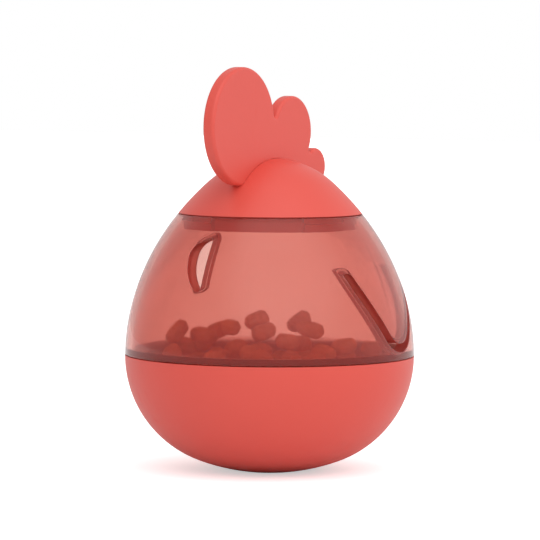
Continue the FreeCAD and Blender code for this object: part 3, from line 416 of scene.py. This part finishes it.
@dataclass(frozen=True)
class ClearPlastic:
    """Clear plastic tinted right through, deeper at a slant, with a share of milky pigment."""

    name: str
    tint: RGB
    pigment: RGB
    milkiness: float
    face: MouldFace = MouldFace.POLISHED
    edge_radius: float = 0.35 * MM
    bump: float = 0.04
    scuff: float = 0.08
    slant_depth: float = 2.4
    dense_tint: float = 0.97
    dense_pigment: float = 0.95
    sheen: RGB = (1.0, 0.7, 0.66)

    def material(self, effects: Effects) -> bpy.types.Material:
        """Build the material.

        Args:
            effects: The shared node groups.

        Returns:
            The material.
        """
        material, desk, clear = new_material(self.name)
        grain = place_group(desk, effects.grain, Pitting=self.face.pitting, Waviness=self.face.waviness)
        handling = place_group(desk, effects.handling, Reach=1.0)
        edge = place_group(desk, effects.soft_edge, Radius=self.edge_radius)
        slant = desk.feed(desk.add("LayerWeight"), Blend=0.5).outputs["Facing"]
        slanted = tuple(channel ** self.slant_depth for channel in self.tint)
        tint = desk.blend(slant, mottle(desk, grain, paler(self.tint, self.dense_tint), self.tint),
                          (*slanted, 1.0))
        flecks = mottle(desk, grain, paler(self.pigment, self.dense_pigment), self.pigment)
        roughness = self.face.roughness
        rough = desk.span(handling.outputs["Mask"], 0.0, 1.0, roughness, roughness + self.scuff)
        normal = relief(desk, grain, edge, self.bump)
        pigment = desk.add("BsdfPrincipled")
        for shader, colour in ((clear, tint), (pigment, flecks)):
            desk.feed(shader, Base_Color=colour, Roughness=rough, Normal=normal, IOR=PLASTIC_IOR,
                      Specular_Tint=(*self.sheen, 1.0))
        desk.feed(clear, Transmission_Weight=1.0)
        layers = desk.add("MixShader")
        desk.feed(layers, Fac=self.milkiness, n1=clear.outputs[0], n2=pigment.outputs[0])
        desk.feed(desk.tree.nodes["Material Output"], Surface=layers.outputs[0])
        return material


@dataclass(frozen=True)
class BakedFood:
    """Dry baked crumb with patches of crust, specks of dust, pores and crumbs, in features per metre."""

    name: str
    crumb: RGB
    crust: RGB
    dust: RGB
    patches: float = 130.0
    patch_ends: Ends = (0.38, 0.62)
    specks: float = 1500.0
    speck_ends: Ends = (0.55, 0.7)
    speck_share: float = 0.5
    pores: float = 900.0
    crumbs: float = 700.0
    bump: float = 0.7
    pore_depth: float = 0.35 * MM
    roughness: float = 0.85

    def material(self, effects: Effects) -> bpy.types.Material:
        """Build the material.

        Args:
            effects: The shared node groups; not used.

        Returns:
            The material.
        """
        material, desk, shader = new_material(self.name)
        place = desk.add("TexCoord").outputs["Object"]
        patches = desk.span(desk.noise(place, self.patches, detail=4.0), *self.patch_ends)
        dust = desk.noise(place, self.specks, detail=2.0)
        specks = desk.span(dust, *self.speck_ends, 0.0, self.speck_share)
        baked = desk.blend(patches, (*self.crust, 1.0), (*self.crumb, 1.0))
        pores = desk.feed(desk.add("TexVoronoi"), Vector=place, Scale=self.pores)
        height = desk.maths("ADD", desk.noise(place, self.crumbs, detail=4.0), pores.outputs["Distance"])
        bump = desk.feed(desk.add("Bump"), Strength=self.bump, Distance=self.pore_depth, Height=height)
        desk.feed(shader, Base_Color=desk.blend(specks, baked, (*self.dust, 1.0)), Roughness=self.roughness,
                  Normal=bump.outputs[0])
        return material


@dataclass(frozen=True)
class Metal:
    """Bare or plated metal with fine marks and stains."""

    name: str
    colour: RGB
    stain: RGB
    roughness: float
    bump: float
    pitting: float = 6.0
    waviness: float = 0.5
    edge_radius: float = 0.15 * MM
    stain_ends: Ends = (0.4, 0.65)
    dulling: float = 0.15

    def material(self, effects: Effects) -> bpy.types.Material:
        """Build the material.

        Args:
            effects: The shared node groups.

        Returns:
            The material.
        """
        material, desk, shader = new_material(self.name)
        grain = place_group(desk, effects.grain, Pitting=self.pitting, Waviness=self.waviness)
        edge = place_group(desk, effects.soft_edge, Radius=self.edge_radius)
        tone = desk.span(grain.outputs["Tone"], *self.stain_ends)
        dulled = self.roughness + self.dulling
        rough = desk.span(grain.outputs["Tone"], *TONE_ENDS, dulled, self.roughness)
        stained = desk.blend(tone, (*self.stain, 1.0), (*self.colour, 1.0))
        desk.feed(shader, Base_Color=stained, Roughness=rough, Metallic=1.0,
                  Normal=relief(desk, grain, edge, self.bump))
        return material


@dataclass(frozen=True)
class Finishes:
    """The toy's finishes as materials, each built once."""

    coral: bpy.types.Material
    inner: bpy.types.Material
    clear: bpy.types.Material
    edge: bpy.types.Material
    food: bpy.types.Material
    iron: bpy.types.Material
    zinc: bpy.types.Material

    @classmethod
    def mix(cls, effects: Effects) -> "Finishes":
        """Build them all.

        Args:
            effects: The shared node groups.

        Returns:
            The finishes.
        """
        coral = MouldedPlastic("coral_satin", colour=(0.745, 0.088, 0.065), deep=(0.715, 0.081, 0.059))
        inner = MouldedPlastic("coral_inner", colour=(0.745, 0.09, 0.068), deep=(0.70, 0.08, 0.06),
                               face=MouldFace.SCRAPED)
        clear = ClearPlastic("coral_clear", tint=(0.86, 0.50, 0.44), pigment=(0.78, 0.085, 0.065),
                             milkiness=0.15)
        edge = ClearPlastic("coral_edge", tint=(0.86, 0.48, 0.42), pigment=(0.78, 0.085, 0.065),
                            milkiness=0.35, face=MouldFace.ERODED)
        food = BakedFood("baked_treat", crumb=(0.90, 0.36, 0.18), crust=(0.76, 0.25, 0.12),
                         dust=(0.92, 0.46, 0.28))
        iron = Metal("cast_iron", colour=(0.20, 0.20, 0.21), stain=(0.10, 0.09, 0.09),
                     roughness=0.55, bump=0.6)
        zinc = Metal("zinc_steel", colour=(0.62, 0.63, 0.65), stain=(0.45, 0.46, 0.48),
                     roughness=0.28, bump=0.2)
        return cls(*(finish.material(effects) for finish in (coral, inner, clear, edge, food, iron, zinc)))


def dress(node: str, material: bpy.types.Material) -> None:
    """Give a carried-over CAD node a material.

    Args:
        node: The node's name.
        material: The material for all its slots.
    """
    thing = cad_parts[node]
    for place in thing.material_slots:
        place.material = material
    LOG.info("%s wears %s", node, material.name)


def mesh_object(name: str, points: Sequence[Sequence[float]], faces: Iterable[Sequence[int]],
                material: bpy.types.Material) -> bpy.types.Object:
    """Make a smooth mesh object from points in metres.

    Args:
        name: The object's name.
        points: Vertex places.
        faces: Vertex numbers of each face.
        material: Its material.

    Returns:
        The linked object.
    """
    mesh = bpy.data.meshes.new(name)
    mesh.from_pydata([tuple(point) for point in points], [], [tuple(face) for face in faces])
    mesh.polygons.foreach_set("use_smooth", [True] * len(mesh.polygons))
    mesh.materials.append(material)
    thing = bpy.data.objects.new(name, mesh)
    bpy.context.scene.collection.objects.link(thing)
    return thing


@dataclass(frozen=True)
class WeightedBase:
    """Bowl with the iron weight in it, shut by the screwed tray."""

    bowl: str = "lower_bowl"
    weight: str = "counterweight"
    tray: str = "treat_tray"
    screws: str = "tray_screws"

    def build(self, finishes: Finishes) -> None:
        """Dress its nodes.

        Args:
            finishes: The toy's finishes.
        """
        dress(self.bowl, finishes.coral)
        dress(self.weight, finishes.iron)
        dress(self.tray, finishes.inner)
        dress(self.screws, finishes.zinc)


@dataclass(frozen=True)
class CombedCap:
    """Cap with the comb that its retainer holds from inside."""

    dome: str = "cap_dome"
    comb: str = "comb"
    retainer: str = "comb_retainer"
    screws: str = "comb_screws"

    def build(self, finishes: Finishes) -> None:
        """Dress its nodes.

        Args:
            finishes: The toy's finishes.
        """
        dress(self.dome, finishes.coral)
        dress(self.comb, finishes.coral)
        dress(self.retainer, finishes.inner)
        dress(self.screws, finishes.zinc)


@dataclass
class WindowShell:
    """Clear middle of the egg: polished skins, matt rims and cut edges; its sizes are in millimetres."""

    widest_radius: float = 45.0
    seam_height: float = 36.0
    lower_arc: float = 62.0
    bend_rise: float = 14.0
    neck_radius: float = 28.8
    neck_rise: float = 43.8
    wall: float = 2.0
    play: float = 0.12

    def depth(self, place: Vector) -> float:
        """Measure how deep a point lies under the outer skin.

        Args:
            place: The point.

        Returns:
            Its depth.
        """
        point = Vector((math.hypot(place.x, place.y), place.z))
        lower_centre = Vector((self.widest_radius - self.lower_arc, self.seam_height))
        to_bend = Vector((math.sqrt(self.lower_arc ** 2 - self.bend_rise ** 2), self.bend_rise))
        from_lower = point - lower_centre
        if from_lower.y * to_bend.x < to_bend.y * from_lower.x:
            return self.lower_arc - from_lower.length
        bend = lower_centre + to_bend
        outward = to_bend / self.lower_arc
        to_neck = Vector((self.neck_radius, self.seam_height + self.neck_rise)) - bend
        upper_arc = -to_neck.length_squared / (2 * to_neck.dot(outward))
        return upper_arc - (point - bend + outward * upper_arc).length

    def is_rim(self, places: Sequence[Vector]) -> bool:
        """Tell whether a face belongs to a rim or a cut edge.

        Args:
            places: Its corners.

        Returns:
            True where it lies on neither skin.
        """
        depths = [self.depth(place) for place in places]
        outer = all(abs(depth) < self.play for depth in depths)
        inner = all(abs(depth - self.wall) < self.play for depth in depths)
        return not outer and not inner

    def build(self, finishes: Finishes) -> None:
        """Put a copy of the node in its place: clear finish on the skins, matt finish on the rims.

        Args:
            finishes: The toy's finishes.
        """
        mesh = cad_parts["window_shell"].data.copy()
        mesh.name = "clear_window"
        mesh.materials.clear()
        mesh.materials.append(finishes.clear)
        mesh.materials.append(finishes.edge)
        places = [vertex.co / MM for vertex in mesh.vertices]
        rims = [self.is_rim([places[index] for index in face.vertices]) for face in mesh.polygons]
        mesh.polygons.foreach_set("material_index", [int(is_rim) for is_rim in rims])
        thing = bpy.data.objects.new("clear_window", mesh)
        bpy.context.scene.collection.objects.link(thing)
        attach(thing, "window")
        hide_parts("window_shell")
        LOG.info("clear_window has %d faces on rims of %d", sum(rims), len(rims))


@dataclass
class TreatPile:
    """Loose baked nuggets: each takes the place and the form of one solid of the treats node."""

    fineness: int = 4
    squareness: float = 8.0
    crust_depth: float = 0.07
    lump_size: float = 3.2 * MM
    lump_softness: float = 0.8
    lump_spread: float = 2.2
    lump_layers: int = 4
    lump_step: tuple[float, float, float] = (3.7, 1.9, 5.3)
    same_place: float = 0.001 * MM
    same_plane: float = 0.01

    def solids(self) -> list[Planes]:
        """Take the node's mesh apart.

        Returns:
            For each solid, a point on each of its faces with the face's normal.
        """
        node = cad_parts["treats"]
        work = bmesh.new()
        work.from_mesh(node.data)
        work.transform(node.matrix_world)
        bmesh.ops.remove_doubles(work, verts=work.verts, dist=self.same_place)
        bmesh.ops.dissolve_limit(work, angle_limit=self.same_plane, verts=work.verts, edges=work.edges)
        work.normal_update()
        left = set(work.faces)
        found: list[Planes] = []
        for first in work.faces:
            if first not in left:
                continue
            left.discard(first)
            solid, waiting = [], [first]
            while waiting:
                face = waiting.pop()
                solid.append((face.calc_center_median(), face.normal.copy()))
                for edge in face.edges:
                    for neighbour in edge.link_faces:
                        if neighbour in left:
                            left.discard(neighbour)
                            waiting.append(neighbour)
            found.append(solid)
        work.free()
        return found

    def nugget(self, solid: Planes, directions: list[Vector], number: int) -> list[Vector]:
        """Bake one nugget: the solid with round edges and a lumpy crust, nowhere outside the solid.

        Args:
            solid: A point and the normal of each face.
            directions: Directions in which its surface is found.
            number: Number that its lumps are drawn from.

        Returns:
            Its points.
        """
        centre = sum((place for place, _ in solid), Vector()) / len(solid)
        slopes = [normal / normal.dot(place - centre) for place, normal in solid]
        shift = Vector([number * step for step in self.lump_step])
        points = []
        for direction in directions:
            reach = sum(max(slope.dot(direction), 0.0) ** self.squareness for slope in slopes)
            radius = reach ** (-1.0 / self.squareness)
            lump = noise.fractal(direction * radius / self.lump_size + shift, self.lump_softness,
                                 self.lump_spread, self.lump_layers)
            sunk = self.crust_depth * min(max(0.5 + lump, 0.0), 1.0)
            points.append(centre + direction * radius * (1.0 - sunk))
        return points

    def build(self, finishes: Finishes) -> None:
        """Make the pile as one piece and put it in the place of the treats node.

        Args:
            finishes: The toy's finishes.
        """
        ball = bmesh.new()
        bmesh.ops.create_icosphere(ball, subdivisions=self.fineness, radius=1.0)
        directions = [vertex.co.normalized() for vertex in ball.verts]
        net = [tuple(vertex.index for vertex in face.verts) for face in ball.faces]
        ball.free()
        solids = self.solids()
        points: list[Vector] = []
        faces: list[tuple[int, ...]] = []
        for number, solid in enumerate(solids):
            start = len(points)
            points.extend(self.nugget(solid, directions, number))
            faces.extend(tuple(index + start for index in face) for face in net)
        pile = mesh_object("treat_pile", points, faces, finishes.food)
        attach(pile, "base")
        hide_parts("treats")
        LOG.info("treat_pile has %d nuggets", len(solids))


@dataclass(frozen=True)
class Glow:
    """A brighter part of the light tent.

    Its turn from the camera and its rise are in degrees, and its reach is the cosine at which it ends.
    """

    turn: float
    rise: float
    strength: float
    reach: float

    def direction(self, front: float) -> tuple[float, float, float]:
        """Direction from the object to the glow.

        Args:
            front: Heading of the camera, in radians.

        Returns:
            Its unit vector.
        """
        heading = front + math.radians(self.turn)
        rise = math.radians(self.rise)
        return math.cos(rise) * math.cos(heading), math.cos(rise) * math.sin(heading), math.sin(rise)


@dataclass
class Studio:
    """Plain pale floor, soft light, and the camera at the photograph's angle.

    Places and sizes are in metres, the lens in millimetres, the roll in radians and the power in watts.
    """

    camera_place: tuple[float, float, float] = (0.613, -1.020, 0.139)
    aim: tuple[float, float, float] = (0.0, 0.0, 0.0624)
    lens: float = 255.6
    roll: float = math.radians(0.33)
    ambient: float = 0.56
    glows: tuple[Glow, ...] = (Glow(14.0, 50.0, 1.15, 0.55),
                               Glow(90.0, 12.0, 0.45, 0.5),
                               Glow(180.0, 8.0, 0.2, 0.2))
    overhead_place: tuple[float, float, float] = (0.1, -0.15, 1.3)
    overhead_aim: tuple[float, float, float] = (0.0, 0.0, 0.06)
    overhead_size: float = 1.2
    overhead_power: float = 0.8
    floor_size: float = 6.0
    floor_paleness: float = 0.9
    floor_roughness: float = 0.9
    floor_glow: float = 0.5

    def camera(self) -> None:
        """Make the scene's camera."""
        data = bpy.data.cameras.new("camera")
        data.lens = self.lens
        thing = bpy.data.objects.new("camera", data)
        thing.location = self.camera_place
        look = Vector(self.aim) - Vector(self.camera_place)
        turn = look.to_track_quat("-Z", "Y").to_matrix() @ Matrix.Rotation(self.roll, 3, "Z")
        thing.rotation_euler = turn.to_euler()
        bpy.context.scene.collection.objects.link(thing)
        bpy.context.scene.camera = thing

    def overhead(self) -> None:
        """Make the wide soft lamp that hangs over the object."""
        data = bpy.data.lights.new("overhead", "AREA")
        data.energy = self.overhead_power
        data.size = self.overhead_size
        thing = bpy.data.objects.new("overhead", data)
        thing.location = self.overhead_place
        look = Vector(self.overhead_aim) - Vector(self.overhead_place)
        thing.rotation_euler = look.to_track_quat("-Z", "Y").to_euler()
        bpy.context.scene.collection.objects.link(thing)

    def in_view(self, desk: NodeDesk) -> bpy.types.NodeSocket:
        """Find the rays that show a surface itself, straight or through clear plastic.

        Args:
            desk: The desk of the world or the floor.

        Returns:
            1 for such a ray, 0 for one that only gathers light.
        """
        path = desk.add("LightPath")
        return desk.maths("MAXIMUM", path.outputs["Is Camera Ray"], path.outputs["Is Transmission Ray"])

    def world(self) -> None:
        """Make the light tent: soft white light, brighter at its glows, and plain white where it is seen."""
        world = bpy.data.worlds.new("light_tent")
        bpy.context.scene.world = world
        world.use_nodes = True
        desk = NodeDesk(world.node_tree)
        heading = desk.add("TexCoord").outputs["Generated"]
        front = math.atan2(self.camera_place[1], self.camera_place[0])
        light: object = self.ambient
        for glow in self.glows:
            facing = desk.add("VectorMath", operation="DOT_PRODUCT")
            desk.feed(facing, n0=heading, n1=glow.direction(front))
            share = desk.add("MapRange", interpolation_type="SMOOTHERSTEP")
            desk.feed(share, Value=facing.outputs["Value"], From_Min=glow.reach, To_Max=glow.strength)
            light = desk.maths("ADD", light, share.outputs[0])
        strength = desk.add("Mix", data_type="FLOAT")
        desk.feed(strength, n0=self.in_view(desk), n2=light, n3=1.0)
        background = desk.add("Background")
        desk.feed(background, Color=(1.0, 1.0, 1.0, 1.0), Strength=strength.outputs[0])
        desk.feed(desk.add("OutputWorld"), Surface=background.outputs[0])

    def floor(self) -> None:
        """Make the floor, which shows white but for the object's shadow."""
        material, desk, shader = new_material("studio_floor")
        half = self.floor_size / 2
        pale = self.floor_paleness
        glow = desk.maths("MULTIPLY", self.in_view(desk), self.floor_glow)
        desk.feed(shader, Base_Color=(pale, pale, pale, 1.0), Roughness=self.floor_roughness,
                  Specular_IOR_Level=0.0, Emission_Color=(1.0, 1.0, 1.0, 1.0), Emission_Strength=glow)
        corners = [(-half, -half, 0.0), (half, -half, 0.0), (half, half, 0.0), (-half, half, 0.0)]
        thing = mesh_object("studio_floor", corners, [(0, 1, 2, 3)], material)

    def build(self) -> None:
        """Make the whole studio."""
        self.camera()
        self.world()
        self.floor()
        self.overhead()
        bpy.context.scene.view_settings.view_transform = "Standard"


def main() -> None:
    """Dress every piece, build the pile and the studio."""
    logging.basicConfig(level=logging.INFO, format="%(name)s: %(message)s")
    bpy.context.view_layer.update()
    finishes = Finishes.mix(Effects())
    for part in (WeightedBase(), TreatPile(), WindowShell(), CombedCap()):
        part.build(finishes)
    Studio().build()


if __name__ == "__main__":
    main()
